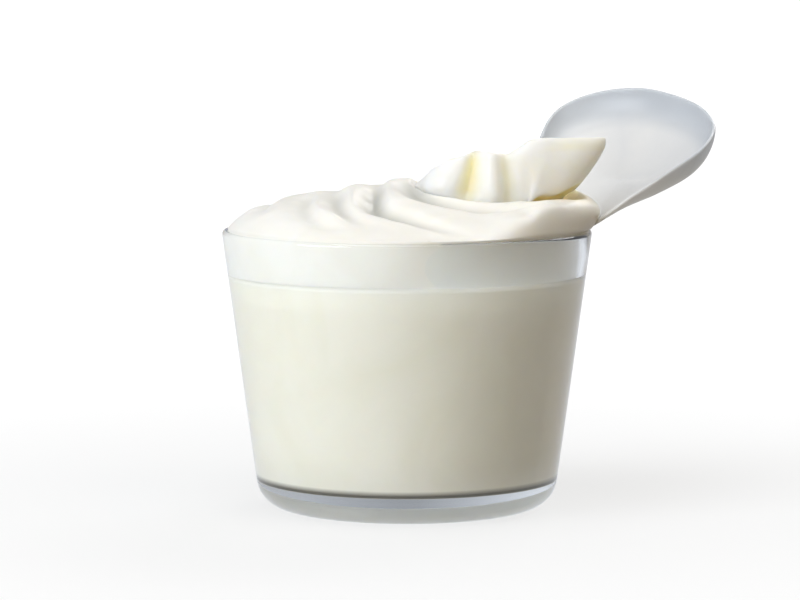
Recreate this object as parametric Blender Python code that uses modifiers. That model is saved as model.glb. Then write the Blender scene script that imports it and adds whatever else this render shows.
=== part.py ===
"""Clear glass pot of yogurt: set yogurt up to a level line, stirred yogurt heaped above the rim in a swirl,
a fold of thick cream standing on it, and the lid peeled back over the right of the rim.

Metres, +Z up. The origin is the centre of the pot's flat underside, -Y is the side that faces the viewer.
"""

from math import atan, atan2, cos, degrees, exp, floor, hypot, log, pi, radians, sin, sqrt

import bmesh
import bpy
from mathutils import Vector

# Driving sizes of the glass pot.
POT_HEIGHT = 0.060
RIM_RADIUS = 0.040
FOOT_RADIUS = 0.0318
WALL = 0.0018
FLOOR = 0.0062
HEEL_RADIUS = 0.0065
INNER_CORNER = 0.0015
TAPER = (RIM_RADIUS - FOOT_RADIUS) / POT_HEIGHT
TURNED_STEPS = 64

# Neighbours stay this far apart, and the heap this far above the rim's own height.
GAP = 0.0003
HEAP_CLEARANCE = 0.0004

# Level of the set yogurt against the glass.
FILL_LEVEL = 0.0500

# The swirl: a heap over the whole mouth, with the arms of a spiral stirred into it.
HEAP_CENTRE = (0.0145, 0.0020)
HEAP_RADIUS = 0.0386
HEAP_TOP = 0.0137
HEAP_FALL_LEFT = 0.0094
HEAP_FALL_FRONT = 0.0140
HEAP_FALL_BACK = 0.0140
HEAP_RIGHT = 0.0070
HEAP_SHOULDER = 0.0016
HEAP_EDGE_SHARPNESS = 14
HEAP_SHARPNESS_RIGHT = 34
ARMS = 4
ARM_GROWTH = 1.45
GROOVE_ON_LEFT = 0.0220
ARM_DEPTH = 0.0042
TRENCH_SHARE = 0.35
# Strokes of the spoon on the viewer's side, in millimetres: places along each, half its width, and its rise.
STROKES = [
    [(2.6, 9.0, 2.4, -0.3), (1.2, -2.0, 2.8, -2.8), (4.2, -13.2, 2.3, -2.8), (13.1, -18.0, 1.8, -1.8),
     (28.0, -17.0, 1.8, -0.8)],
    [(-4.6, 15.0, 1.8, -0.8), (-6.6, -5.5, 2.0, -3.2), (-6.6, -16.0, 2.1, -3.6), (-1.6, -24.0, 1.9, -2.6),
     (10.5, -31.1, 1.8, -0.9), (18.0, -33.0, 1.8, 0.0)],
    [(-13.5, 14.0, 1.9, -0.6), (-15.4, -4.0, 2.1, -2.0), (-14.0, -17.0, 2.0, -2.2), (-9.9, -27.4, 1.8, -0.9),
     (-5.0, -32.0, 1.8, 0.0)],
    [(-20.5, 3.0, 1.9, -0.4), (-21.6, -12.0, 1.9, -1.6), (-18.6, -24.5, 1.8, -1.1), (-12.0, -33.0, 1.8, 0.0)],
    [(-26.5, 16.0, 1.8, -0.8), (-29.0, 5.0, 1.8, -1.3), (-30.4, -14.0, 1.8, 0.0)],
]
# How much wider a groove runs out on its far side, away from the cream.
FAR_SIDE = 1.6
DITCH_DEPTH = 0.0007
SWIRL_SEGMENTS = 90
RINGS_UNDER_CREAM = 2
RINGS_ROUND_CREAM = 22

# The cream fold: a pleated wall, high on the viewer's side, that leans out to the right as a flap.
CREAM_SEAT = 0.0088
CREAM_SEAT_SLOPE = -0.19
CREAM_MIDDLE = 0.0130
CREAM_SEGMENTS = 84
CREAM_TOP_RINGS = 7
CREAM_SIDE_RINGS = 8
# Foot of the cream: degrees from +X, distance from the heap's centre.
CREAM_FOOT = [
    (0, 0.0165), (40, 0.0150), (90, 0.0138), (140, 0.0136), (170, 0.0126), (203, 0.0124), (231, 0.0150),
    (258, 0.0160), (300, 0.0162), (325, 0.0175), (345, 0.0172), (360, 0.0165),
]
# Crest of the cream: degrees from +X, height above the rim plane.
CREAM_CREST = [
    (0, 0.0160), (40, 0.0085), (90, 0.0088), (150, 0.0100), (175, 0.0106), (190, 0.0110), (205, 0.0124),
    (230, 0.0140), (243, 0.0154), (256, 0.0162), (270, 0.0172), (282, 0.0173), (292, 0.0174), (300, 0.0168),
    (309, 0.0182), (318, 0.0198), (335, 0.0202), (350, 0.0196), (360, 0.0160),
]
# How far the crest leans out beyond the foot.
CREAM_LEAN = [
    (0, 0.0060), (40, -0.0040), (90, -0.0048), (150, -0.0028), (175, -0.0014), (200, -0.0016), (225, -0.0030),
    (260, -0.0036), (300, -0.0010), (316, 0.0000), (324, 0.0022), (330, 0.0050), (336, 0.0090), (342, 0.0124),
    (348, 0.0128), (353, 0.0112), (360, 0.0060),
]
# Folds in the wall: degrees at the crest and at the foot, half their width, and how far they stand out.
CREAM_FOLDS = [
    (236, 232, 20, 16, 0.0012),
    (269, 261, 6, 10, -0.0024),
    (283, 283, 6, 7, 0.0014),
    (296, 295, 6, 6, -0.0014),
    (314, 312, 12, 11, 0.0007),
]

# The lid: a thin moulded disc with a turned-up edge.
LID_THICKNESS = 0.0008
LID_EDGE = 0.0047
LID_SEGMENTS = 60
LID_PANEL_RINGS = 6
LID_EDGE_RINGS = 2
LID_MIDDLE = (0.0480, 0.0220, 0.0688)
LID_FACING = (-0.25, -0.34, 0.907)
LID_HINGE_RADIUS = 0.0398
LID_HINGE_HEIGHT = 0.0608
# Outline of the lid's panel, from the near end of its hinge on the rim, out and round to the far end.
LID_OUTLINE = [
    (0.0396, -0.0045, 0.0608), (0.0460, -0.0060, 0.0644), (0.0546, -0.0025, 0.0677), (0.0628, 0.0045, 0.0718),
    (0.0672, 0.0150, 0.0757), (0.0673, 0.0240, 0.0785), (0.0650, 0.0320, 0.0808), (0.0598, 0.0400, 0.0828),
    (0.0532, 0.0465, 0.0838), (0.0440, 0.0508, 0.0825), (0.0358, 0.0508, 0.0786), (0.0312, 0.0450, 0.0712),
    (0.0285, 0.0365, 0.0650), (0.0272, 0.0292, 0.0608),
]
LID_HINGE_STEPS = 6


def clear_scene():
    for thing in list(bpy.data.objects):
        bpy.data.objects.remove(thing, do_unlink=True)


def new_collection(name):
    collection = bpy.data.collections.new(name)
    bpy.context.scene.collection.children.link(collection)
    return collection


def new_material(name, colour, roughness):
    material = bpy.data.materials.new(name)
    material.use_nodes = True
    shader = material.node_tree.nodes["Principled BSDF"]
    shader.inputs["Base Color"].default_value = (*colour, 1.0)
    shader.inputs["Roughness"].default_value = roughness
    shader.inputs["Metallic"].default_value = 0.0
    material.diffuse_color = (*colour, 1.0)
    return material


def smoothstep(low, high, value):
    share = min(1.0, max(0.0, (value - low) / (high - low)))
    return share * share * (3 - 2 * share)


def mix(a, b, share):
    return a + (b - a) * share


def through(stations, at):
    """Smooth height or width at a place, read through (place, value) stations in rising order."""
    if at <= stations[0][0]:
        return stations[0][1]
    for (low, before), (high, after) in zip(stations, stations[1:]):
        if at <= high:
            return mix(before, after, smoothstep(low, high, at))
    return stations[-1][1]


def arc(centre_r, centre_z, radius, start_deg, end_deg, steps):
    """Points of an arc in the profile plane, both ends included."""
    return [
        (
            centre_r + radius * cos(radians(mix(start_deg, end_deg, i / steps))),
            centre_z + radius * sin(radians(mix(start_deg, end_deg, i / steps))),
        )
        for i in range(steps + 1)
    ]


def outer_radius(z):
    return FOOT_RADIUS + TAPER * z


def inner_radius(z):
    return outer_radius(z) - WALL


def turned(name, profile, steps, collection):
    """A profile of (radius, height) points, turned a full circle about Z by a Screw modifier."""
    mesh = bpy.data.meshes.new(name)
    points = [(r, 0.0, z) for r, z in profile]
    mesh.from_pydata(points, [(i, i + 1) for i in range(len(points) - 1)], [])
    thing = bpy.data.objects.new(name, mesh)
    collection.objects.link(thing)
    screw = thing.modifiers.new("turn", "SCREW")
    screw.axis = "Z"
    screw.steps = steps
    screw.render_steps = steps
    screw.use_merge_vertices = True
    screw.merge_threshold = 0.00001
    screw.use_smooth_shade = True
    return thing


def baked(thing):
    """The same object with its modifiers' result as its own mesh."""
    depsgraph = bpy.context.evaluated_depsgraph_get()
    mesh = bpy.data.meshes.new_from_object(thing.evaluated_get(depsgraph))
    thing.modifiers.clear()
    thing.data = mesh
    return thing


def warp(thing, place):
    """Moves every vertex to place(radius, angle, height) of its turned position."""
    mesh = bmesh.new()
    mesh.from_mesh(thing.data)
    bmesh.ops.remove_doubles(mesh, verts=mesh.verts, dist=0.000001)
    for vert in mesh.verts:
        x, y, z = vert.co
        vert.co = place(hypot(x, y), atan2(y, x) % (2 * pi), z)
    bmesh.ops.recalc_face_normals(mesh, faces=mesh.faces)
    mesh.to_mesh(thing.data)
    mesh.free()


def paint(thing, material, sharp_deg=35.0):
    thing.data.materials.clear()
    thing.data.materials.append(material)
    thing.data.shade_smooth()
    thing.data.set_sharp_from_angle(angle=radians(sharp_deg))


def fillet_centre(wall_foot, floor_z, radius):
    """Radius at which a fillet's centre lies, where it joins a flat floor to the tapering wall."""
    return wall_foot + TAPER * (floor_z + radius) - radius * sqrt(1 + TAPER**2)


def glass_profile():
    """Inside floor, inside wall, round rim, outside wall and heel, ending at the centre of the underside."""
    lean = -degrees(atan(TAPER))
    inside = arc(
        fillet_centre(FOOT_RADIUS - WALL, FLOOR, INNER_CORNER),
        FLOOR + INNER_CORNER,
        INNER_CORNER,
        -90,
        lean,
        4,
    )
    rim_z = POT_HEIGHT - WALL / 2
    rim = arc(outer_radius(rim_z) - WALL / 2, rim_z, WALL / 2, 180, 0, 6)
    heel = arc(fillet_centre(FOOT_RADIUS, 0.0, HEEL_RADIUS), HEEL_RADIUS, HEEL_RADIUS, lean, -90, 6)
    return [(0.0, FLOOR), *inside, *rim, *heel, (0.0, 0.0)]


def make_glass_pot(collection, material):
    pot = turned("glass_pot", glass_profile(), TURNED_STEPS, collection)
    paint(pot, material)


def make_yogurt_fill(collection, material):
    """Set yogurt that fills the pot up to its level line, a gap inside the glass."""
    lean = -degrees(atan(TAPER))
    corner = INNER_CORNER - GAP
    corner_z = FLOOR + INNER_CORNER
    bottom = arc(fillet_centre(FOOT_RADIUS - WALL, FLOOR, INNER_CORNER), corner_z, corner, lean, -90, 4)
    profile = [
        (0.0, FILL_LEVEL),
        (inner_radius(FILL_LEVEL) - GAP, FILL_LEVEL),
        *bottom,
        (0.0, FLOOR + GAP),
    ]
    fill = turned("yogurt_fill", profile, TURNED_STEPS, collection)
    paint(fill, material)


def arm_wave(out, turn):
    """0 in the grooves between the swirl's arms and 1 on their crests. The spiral widens as it grows."""
    phase = log(max(out, 0.001) / GROOVE_ON_LEFT) / log(ARM_GROWTH) - ARMS * (turn / (2 * pi) - 0.5)
    return abs(sin(pi * (phase - floor(phase)))) ** 0.8


def on_curve(stations, place):
    """A station on the smooth open curve through the stations, place counted in stations from the first."""
    last = len(stations) - 1
    i = min(int(place), last - 1)
    t = place - i
    p0, p1, p2, p3 = (Vector(stations[min(max(i + k, 0), last)]) for k in (-1, 0, 1, 2))
    bend = 2 * p0 - 5 * p1 + 4 * p2 - p3
    return 0.5 * (2 * p1 + (p2 - p0) * t + bend * t**2 + (3 * p1 - p0 - 3 * p2 + p3) * t**3)


def stroke_pieces(stations, steps):
    """A stroke as short straight pieces, in metres, with its width and rise at the ends of each."""
    count = (len(stations) - 1) * steps
    points = [on_curve(stations, i / steps) * 0.001 for i in range(count + 1)]
    return list(zip(points, points[1:]))


def stroke_depth(x, y, strokes):
    """How far the spoon's strokes lower the surface at a place. Each groove is wider on its far side."""
    cut = 0.0
    for pieces in strokes:
        nearest, width, rise, side = 1.0, 1.0, 0.0, 0.0
        for a, b in pieces:
            along_x, along_y = b[0] - a[0], b[1] - a[1]
            share = ((x - a[0]) * along_x + (y - a[1]) * along_y) / (along_x**2 + along_y**2)
            share = min(1.0, max(0.0, share))
            away = (x - a[0] - share * along_x) ** 2 + (y - a[1] - share * along_y) ** 2
            if away < nearest:
                nearest, width, rise = away, mix(a[2], b[2], share), mix(a[3], b[3], share)
                side = along_x * (y - a[1]) - along_y * (x - a[0])
        if side < 0:
            width *= FAR_SIDE
        cut += (rise * exp(-nearest / width**2)) ** 2
    return sqrt(cut)


def seat_height(x):
    """Height above the rim plane of the sloping flat that the cream stands on."""
    return CREAM_SEAT + CREAM_SEAT_SLOPE * x


def heap_height(share, turn, x, y):
    """Smooth height of the heap above the rim plane, at a share of the way from its centre to the glass."""
    towards = HEAP_FALL_FRONT if sin(turn) < 0 else HEAP_FALL_BACK
    fall = mix(HEAP_FALL_LEFT, towards, sin(turn) ** 2)
    right = HEAP_RIGHT + HEAP_SHOULDER * smoothstep(-0.006, 0.008, y)
    level = mix(HEAP_TOP - fall * share, right, smoothstep(0.012, 0.032, x))
    sharpness = mix(HEAP_EDGE_SHARPNESS, HEAP_SHARPNESS_RIGHT, smoothstep(0.016, 0.032, x))
    return level * (1 - share**sharpness)


def swirl_height(out, share, turn, x, y, strokes):
    """Height of the stirred yogurt's surface above the rim plane: strokes in front, spiral arms behind."""
    at = degrees(turn)
    foot = through(CREAM_FOOT, at)
    depth = ARM_DEPTH * (1 - 0.8 * smoothstep(0.50, 0.95, share)) * (1 - 0.6 * smoothstep(0.006, 0.025, x))
    carved = depth * mix(TRENCH_SHARE, 1 - arm_wave(out, turn), smoothstep(1.02, 1.35, out / foot))
    in_front = smoothstep(140, 160, at) * (1 - smoothstep(300, 322, at))
    if in_front > 0:
        carved = mix(carved, stroke_depth(x, y, strokes) * smoothstep(1.0, 0.93, share), in_front)
    free = max(0.0, heap_height(share, turn, x, y) - carved)
    under_leaf = smoothstep(306, 330, at) + 1 - smoothstep(15, 45, at)
    seat_end = mix(1.18, 1.42, under_leaf)
    return mix(seat_height(x), free, smoothstep(1.03, seat_end, out / foot))


def reach_to_circle(centre, direction, radius):
    """Distance from a point inside a circle round the axis to that circle, along a unit direction."""
    along = centre[0] * direction[0] + centre[1] * direction[1]
    short = radius**2 - (centre[0] ** 2 + centre[1] ** 2)
    return -along + sqrt(along**2 + short)


def make_yogurt_swirl(collection, material):
    """A turned disc drawn out to the swirl: radius 0 to 1 is the seat under the cream, 1 to 2 reaches the glass."""
    strokes = [stroke_pieces(stations, 6) for stations in STROKES]

    def place(radius, angle, height):
        direction = (cos(angle), sin(angle))
        if height > 0.999:
            seat = 1.03 * through(CREAM_FOOT, degrees(angle))
            reach = reach_to_circle(HEAP_CENTRE, direction, HEAP_RADIUS)
            out = seat * radius if radius <= 1 else mix(seat, reach, radius - 1)
            x, y = HEAP_CENTRE[0] + out * direction[0], HEAP_CENTRE[1] + out * direction[1]
            rise = swirl_height(out, out / reach, angle, x, y, strokes)
            return Vector((x, y, POT_HEIGHT + HEAP_CLEARANCE + rise))
        z = mix(FILL_LEVEL + GAP, POT_HEIGHT + 0.0002, height)
        ditch = DITCH_DEPTH * sin(pi * height) * smoothstep(0.5, 0.95, cos(angle + 1.0))
        wall = inner_radius(min(z, POT_HEIGHT)) - GAP - 0.0002 - ditch
        out = radius / 2 * reach_to_circle(HEAP_CENTRE, direction, wall)
        return Vector((HEAP_CENTRE[0] + out * direction[0], HEAP_CENTRE[1] + out * direction[1], z))

    seat = [(i / RINGS_UNDER_CREAM, 1.0) for i in range(RINGS_UNDER_CREAM + 1)]
    arms = [(1 + i / RINGS_ROUND_CREAM, 1.0) for i in range(1, RINGS_ROUND_CREAM + 1)]
    side = [(2.0, level) for level in (0.85, 0.65, 0.4, 0.2, 0.0)]
    swirl = baked(turned("yogurt_swirl", [*seat, *arms, *side, (0.0, 0.0)], SWIRL_SEGMENTS, collection))
    warp(swirl, place)
    paint(swirl, material, 80.0)


def cream_folds(at, height):
    """How far the wall stands out at an angle, and at a share of its height."""
    total = 0.0
    for top, bottom, top_width, bottom_width, out in CREAM_FOLDS:
        middle, width = mix(bottom, top, height), mix(bottom_width, top_width, height)
        total += out * exp(-(((at - middle) / width) ** 2))
    return total


def place_cream(radius, angle, height):
    """Turned disc to cream: a top that rises to the crest, a folded side, and a seat on the yogurt."""
    at = degrees(angle)
    crest, foot, lean = through(CREAM_CREST, at), through(CREAM_FOOT, at), through(CREAM_LEAN, at)
    flap = smoothstep(308, 325, at) * (1 - smoothstep(352, 360, at))
    if height > 0.999:
        out = radius * (foot + lean) + radius**4 * cream_folds(at, 1.0)
    else:
        bulge = 0.0010 * sin(pi * height)
        undercut = 0.0020 * flap * (1 - smoothstep(0.10, 0.34, height))
        folded = cream_folds(at, height) * (0.4 + 0.6 * smoothstep(0.0, 0.3, height))
        out = radius * (foot + lean * height + folded + bulge - undercut)
    x = HEAP_CENTRE[0] + out * cos(angle)
    y = HEAP_CENTRE[1] + out * sin(angle)
    if height > 0.999:
        z = mix(CREAM_MIDDLE, crest, radius**2)
    else:
        z = mix(seat_height(x) + 2 * GAP, crest, height)
    return Vector((x, y, POT_HEIGHT + z))


def make_cream_fold(collection, material):
    top = [(i / CREAM_TOP_RINGS, 1.0) for i in range(CREAM_TOP_RINGS + 1)]
    side = [(1.0, 1 - i / CREAM_SIDE_RINGS) for i in range(1, CREAM_SIDE_RINGS + 1)]
    cream = baked(turned("cream_fold", [*top, *side, (0.0, 0.0)], CREAM_SEGMENTS, collection))
    warp(cream, place_cream)
    paint(cream, material, 80.0)


def lid_outline():
    """The free outline, closed along the arc of the rim that the lid is still held on."""
    start = atan2(LID_OUTLINE[-1][1], LID_OUTLINE[-1][0])
    end = atan2(LID_OUTLINE[0][1], LID_OUTLINE[0][0])
    hinge = []
    for i in range(1, LID_HINGE_STEPS):
        turn = mix(start, end, i / LID_HINGE_STEPS)
        hinge.append((LID_HINGE_RADIUS * cos(turn), LID_HINGE_RADIUS * sin(turn), LID_HINGE_HEIGHT))
    return [Vector(p) for p in [*LID_OUTLINE, *hinge]]


def on_loop(points, share):
    """A point on the smooth closed loop through the points, share from 0 to 1 of the way round."""
    count = len(points)
    place = (share % 1.0) * count
    i = int(place)
    t = place - i
    p0, p1, p2, p3 = (points[(i + k) % count] for k in (-1, 0, 1, 2))
    bend = 2 * p0 - 5 * p1 + 4 * p2 - p3
    return 0.5 * (2 * p1 + (p2 - p0) * t + bend * t**2 + (3 * p1 - p0 - 3 * p2 + p3) * t**3)


def make_lid(collection, material):
    points = lid_outline()
    middle = Vector(LID_MIDDLE)
    hinge_share = (len(LID_OUTLINE) - 1) / len(points)
    facing = Vector(LID_FACING).normalized()

    def place(radius, angle, height):
        share = angle / (2 * pi)
        edge = on_loop(points, share)
        outward = (edge - middle).normalized()
        free = smoothstep(0.0, 0.14, share) * (1 - smoothstep(hinge_share - 0.14, hinge_share, share))
        if radius <= 1.0:
            point = middle.lerp(edge, radius)
            point.z = mix(middle.z, edge.z, radius ** mix(1.15, 1.7, free))
            return point
        turn_up = (radius - 1.0) * LID_EDGE * (0.12 + 0.88 * free)
        return edge + facing * turn_up + outward * (0.25 * turn_up)

    panel = [(i / LID_PANEL_RINGS, 0.0) for i in range(LID_PANEL_RINGS + 1)]
    rise = [(1.0 + i / LID_EDGE_RINGS, 0.0) for i in range(1, LID_EDGE_RINGS + 1)]
    lid = baked(turned("lid", [*panel, *rise], LID_SEGMENTS, collection))
    warp(lid, place)
    solid = lid.modifiers.new("thickness", "SOLIDIFY")
    solid.thickness = LID_THICKNESS
    solid.offset = 0.0
    paint(lid, material)


def main():
    clear_scene()
    pot = new_collection("yogurt_pot")
    glass = new_material("clear_glass", (0.82, 0.87, 0.88), 0.05)
    yogurt = new_material("set_yogurt", (0.93, 0.91, 0.85), 0.45)
    stirred = new_material("stirred_yogurt", (0.95, 0.95, 0.92), 0.40)
    cream = new_material("thick_cream", (0.95, 0.92, 0.80), 0.40)
    plastic = new_material("milky_plastic", (0.80, 0.83, 0.86), 0.35)
    make_glass_pot(pot, glass)
    make_yogurt_fill(pot, yogurt)
    make_yogurt_swirl(pot, stirred)
    make_cream_fold(pot, cream)
    make_lid(pot, plastic)


main()
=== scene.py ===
"""A clear glass pot of yogurt, with a milky lid peeled back over the right of its rim.

Set yogurt fills the pot up to a level line, stirred yogurt is heaped over the rim in a swirl,
and a fold of thick cream stands in the swirl.

Metres, +Z up. The origin is the centre of the pot's flat underside, and the viewer is at -Y.
"""

from math import atan, atan2, cos, degrees, exp, floor, log, pi, radians, sin, sqrt

import bmesh
import bpy
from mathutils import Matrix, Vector, noise


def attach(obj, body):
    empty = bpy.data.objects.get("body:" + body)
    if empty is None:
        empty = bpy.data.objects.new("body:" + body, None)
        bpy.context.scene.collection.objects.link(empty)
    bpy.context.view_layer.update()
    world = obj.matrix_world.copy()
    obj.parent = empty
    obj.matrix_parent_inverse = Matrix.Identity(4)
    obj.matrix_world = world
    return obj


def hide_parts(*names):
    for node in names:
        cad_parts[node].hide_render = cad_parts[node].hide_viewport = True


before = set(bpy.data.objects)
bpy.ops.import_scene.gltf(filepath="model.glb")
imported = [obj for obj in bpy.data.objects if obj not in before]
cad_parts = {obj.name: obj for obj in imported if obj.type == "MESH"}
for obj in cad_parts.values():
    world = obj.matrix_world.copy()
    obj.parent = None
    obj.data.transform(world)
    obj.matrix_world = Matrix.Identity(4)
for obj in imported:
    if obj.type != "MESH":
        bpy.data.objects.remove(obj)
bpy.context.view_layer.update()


# Glass pot. Pressed clear glass that widens in a straight line from a thick base to a thin rim.
# The heel is rounded, the rim is melted to a smooth bead, and the base is thick enough to look blue-grey.
POT_HEIGHT = 0.060
RIM_RADIUS = 0.040
FOOT_RADIUS = 0.0318
WALL = 0.0018
BASE_THICKNESS = 0.0062
HEEL_RADIUS = 0.0065
INNER_CORNER = 0.0015
TAPER = (RIM_RADIUS - FOOT_RADIUS) / POT_HEIGHT
WALL_LEAN = -degrees(atan(TAPER))


def mix(a, b, share):
    return a + (b - a) * share


def outer_radius(z):
    return FOOT_RADIUS + TAPER * z


def inner_radius(z):
    return outer_radius(z) - WALL


def arc(centre_r, centre_z, radius, start_deg, end_deg, steps):
    """Points of an arc in the plane of a turned profile, both ends included."""
    turns = [radians(mix(start_deg, end_deg, i / steps)) for i in range(steps + 1)]
    return [(centre_r + radius * cos(turn), centre_z + radius * sin(turn)) for turn in turns]


def corner_centre(wall_foot, floor_z, radius):
    """Radius at which a corner's centre lies, where it joins a flat floor to the tapering wall."""
    return wall_foot + TAPER * (floor_z + radius) - radius * sqrt(1 + TAPER**2)


def skin(name, rings):
    """A smooth skin over rings of points. A ring of one point closes it."""
    points, starts, faces = [], [], []
    for ring in rings:
        starts.append(len(points))
        points.extend(ring)
    for k in range(len(rings) - 1):
        a, b = starts[k], starts[k + 1]
        count = max(len(rings[k]), len(rings[k + 1]))
        for i in range(count):
            j = (i + 1) % count
            if len(rings[k]) == 1:
                faces.append((a, b + i, b + j))
            elif len(rings[k + 1]) == 1:
                faces.append((a + j, a + i, b))
            else:
                faces.append((a + j, a + i, b + i, b + j))
    mesh = bpy.data.meshes.new(name)
    mesh.from_pydata(points, [], faces)
    shaped = bmesh.new()
    shaped.from_mesh(mesh)
    bmesh.ops.recalc_face_normals(shaped, faces=shaped.faces)
    shaped.to_mesh(mesh)
    shaped.free()
    mesh.shade_smooth()
    thing = bpy.data.objects.new(name, mesh)
    bpy.context.scene.collection.objects.link(thing)
    return thing


def ring_round_axis(radius, z, count):
    """Points spaced evenly round the pot's axis, or the one point on it."""
    if radius == 0:
        return [(0.0, 0.0, z)]
    turns = [2 * pi * i / count for i in range(count)]
    return [(radius * cos(turn), radius * sin(turn), z) for turn in turns]


def turned(name, profile, steps):
    """A profile of (radius, height) points turned about the pot's axis."""
    return skin(name, [ring_round_axis(radius, z, steps) for radius, z in profile])


def straight(start, end, steps):
    """Points between two profile points, neither end included."""
    return [(mix(start[0], end[0], i / steps), mix(start[1], end[1], i / steps)) for i in range(1, steps)]


def glass_profile():
    rim_z = POT_HEIGHT - WALL / 2
    inside_r = corner_centre(FOOT_RADIUS - WALL, BASE_THICKNESS, INNER_CORNER)
    inside = arc(inside_r, BASE_THICKNESS + INNER_CORNER, INNER_CORNER, -90, WALL_LEAN, 10)
    rim = arc(outer_radius(rim_z) - WALL / 2, rim_z, WALL / 2, 180, 0, 18)
    heel = arc(corner_centre(FOOT_RADIUS, 0.0, HEEL_RADIUS), HEEL_RADIUS, HEEL_RADIUS, WALL_LEAN, -90, 18)
    centre_in, centre_out = (0.0, BASE_THICKNESS), (0.0, 0.0)
    return [
        centre_in, *straight(centre_in, inside[0], 12), *inside, *straight(inside[-1], rim[0], 12), *rim,
        *straight(rim[-1], heel[0], 12), *heel, *straight(heel[-1], centre_out, 12), centre_out,
    ]


def put(tree, kind, settings=None, **inputs):
    """A new node with its options set, its inputs given as values or taken from other sockets."""
    made = tree.nodes.new("ShaderNode" + kind)
    for name, value in (settings or {}).items():
        setattr(made, name, value)
    for name, value in inputs.items():
        socket = made.inputs[name.replace("_", " ")]
        if isinstance(value, bpy.types.NodeSocket):
            tree.links.new(value, socket)
        else:
            socket.default_value = value
    return made


def reckon(tree, operation, a, b=None, c=None, clamp=False):
    """The result of a Math node on values or sockets."""
    made = tree.nodes.new("ShaderNodeMath")
    made.operation = operation
    made.use_clamp = clamp
    for socket, value in zip(made.inputs, (a, b, c)):
        if isinstance(value, bpy.types.NodeSocket):
            tree.links.new(value, socket)
        elif value is not None:
            socket.default_value = value
    return made.outputs[0]


def spread(tree, value, from_low, from_high, to_low, to_high):
    """A value carried from one range to another, held at the ends."""
    made = tree.nodes.new("ShaderNodeMapRange")
    tree.links.new(value, made.inputs["Value"])
    for name, number in (
        ("From Min", from_low), ("From Max", from_high), ("To Min", to_low), ("To Max", to_high),
    ):
        made.inputs[name].default_value = number
    return made.outputs["Result"]


def blend_colours(tree, share, first, second):
    """Colour between two colours or sockets."""
    made = tree.nodes.new("ShaderNodeMix")
    made.data_type = "RGBA"
    first_colour, second_colour = made.inputs[6], made.inputs[7]
    for socket, value in ((made.inputs["Factor"], share), (first_colour, first), (second_colour, second)):
        if isinstance(value, bpy.types.NodeSocket):
            tree.links.new(value, socket)
        elif isinstance(value, tuple):
            socket.default_value = (*value, 1.0)
        else:
            socket.default_value = value
    return made.outputs[2]


def new_finish(name, colour, **shine):
    """A material with its plain values set on the Principled shader, and what it was made from."""
    material = bpy.data.materials.new(name)
    material.use_nodes = True
    tree = material.node_tree
    shader = tree.nodes["Principled BSDF"]
    shader.inputs["Base Color"].default_value = (*colour, 1.0)
    for key, value in shine.items():
        shader.inputs[key.replace("_", " ")].default_value = value
    material.diffuse_color = (*colour, 1.0)
    return material, tree, shader


def clear_glass_finish():
    """Clear pressed glass: slow waves from the mould, a faint haze, and a blue-grey tint in its depth."""
    material, tree, shader = new_finish(
        "clear_glass", (0.95, 0.975, 0.985), IOR=1.5, Transmission_Weight=1.0,
    )
    place = put(tree, "TexCoord").outputs["Object"]
    haze = put(tree, "TexNoise", Vector=place, Scale=90.0, Detail=3.0, Roughness=0.55)
    tree.links.new(spread(tree, haze.outputs["Fac"], 0.35, 0.75, 0.012, 0.05), shader.inputs["Roughness"])
    waves = put(tree, "TexNoise", Vector=place, Scale=45.0, Detail=1.0)
    bump = put(tree, "Bump", Height=waves.outputs["Fac"], Strength=0.12, Distance=0.0012)
    tree.links.new(bump.outputs["Normal"], shader.inputs["Normal"])
    body = put(tree, "VolumeAbsorption", Color=(0.62, 0.72, 0.80, 1.0), Density=4.0)
    clear = put(tree, "BsdfTransparent", Color=(0.93, 0.95, 0.96, 1.0))
    rays = put(tree, "LightPath")
    through_glass = put(tree, "MixShader", Fac=rays.outputs["Is Shadow Ray"])
    tree.links.new(shader.outputs["BSDF"], through_glass.inputs[1])
    tree.links.new(clear.outputs["BSDF"], through_glass.inputs[2])
    output = tree.nodes["Material Output"]
    tree.links.new(through_glass.outputs["Shader"], output.inputs["Surface"])
    tree.links.new(body.outputs["Volume"], output.inputs["Volume"])
    return material


glass = turned("pot_glass", glass_profile(), 256)
glass.data.materials.append(clear_glass_finish())
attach(glass, "root")
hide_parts("glass_pot")


# Set yogurt. It was poured warm and set in the pot, so it fills the glass without a gap up to a level line.
# It holds to the glass in a small meniscus, and shows the faint clouds and pinholes of set curd.
FILL_LEVEL = 0.0500
MENISCUS = 0.0007
# How far the yogurt reaches into the glass: all along the wall, at its upper edge, and at the corner.
INTO_THE_WALL = 0.0009
INTO_THE_WALL_AT_EDGE = 0.0004
INTO_THE_CORNER = 0.0002
WALL_FOOT_HEIGHT = 0.013
SHOULDER_HEIGHT = 0.046
HALF_WAY_OUT = 0.018


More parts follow.
